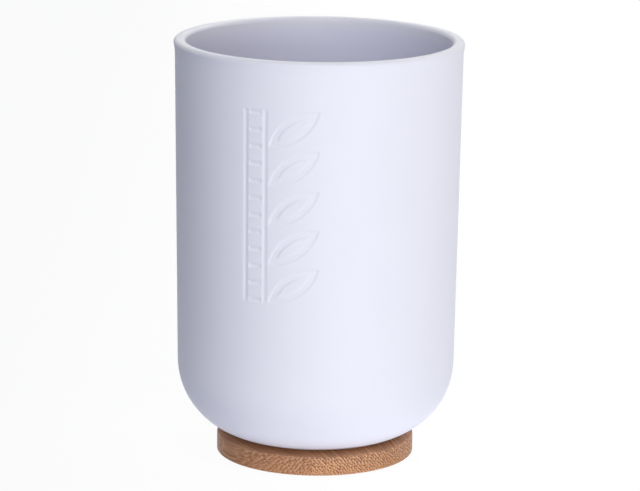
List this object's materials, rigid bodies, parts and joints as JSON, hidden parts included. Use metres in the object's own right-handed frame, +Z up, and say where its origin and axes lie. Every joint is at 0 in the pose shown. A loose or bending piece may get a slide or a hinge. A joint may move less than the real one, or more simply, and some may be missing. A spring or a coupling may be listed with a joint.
{
  "type": "bathroom tumbler",
  "caption": "White moulded tumbler with rounded base, flared rim and engraved leaf panel, on a round bamboo foot with anti-slip pads.",
  "frame": {"origin": "on the cup's axis, at the surface that the pads stand on", "axes": "+Z up along the cup's axis, -Y the front that the engraved panel faces, +X to the right seen from the front"},
  "size_m": [0.075, 0.075, 0.11],
  "materials": {
    "cup": "fine satin outside, smoother inside",
    "bamboo": "carbonised bamboo, thin satin lacquer",
    "adhesive": "cured adhesive film",
    "pad": "soft cloudy elastomer"
  },
  "bodies": {
    "root": {"cup": "cup", "foot_strip_left": "bamboo", "foot_strip_middle": "bamboo", "foot_strip_right": "bamboo", "adhesive_disc": "adhesive", "anti_slip_pad_1": "pad", "anti_slip_pad_2": "pad", "anti_slip_pad_3": "pad"}
  },
  "joints": []
}
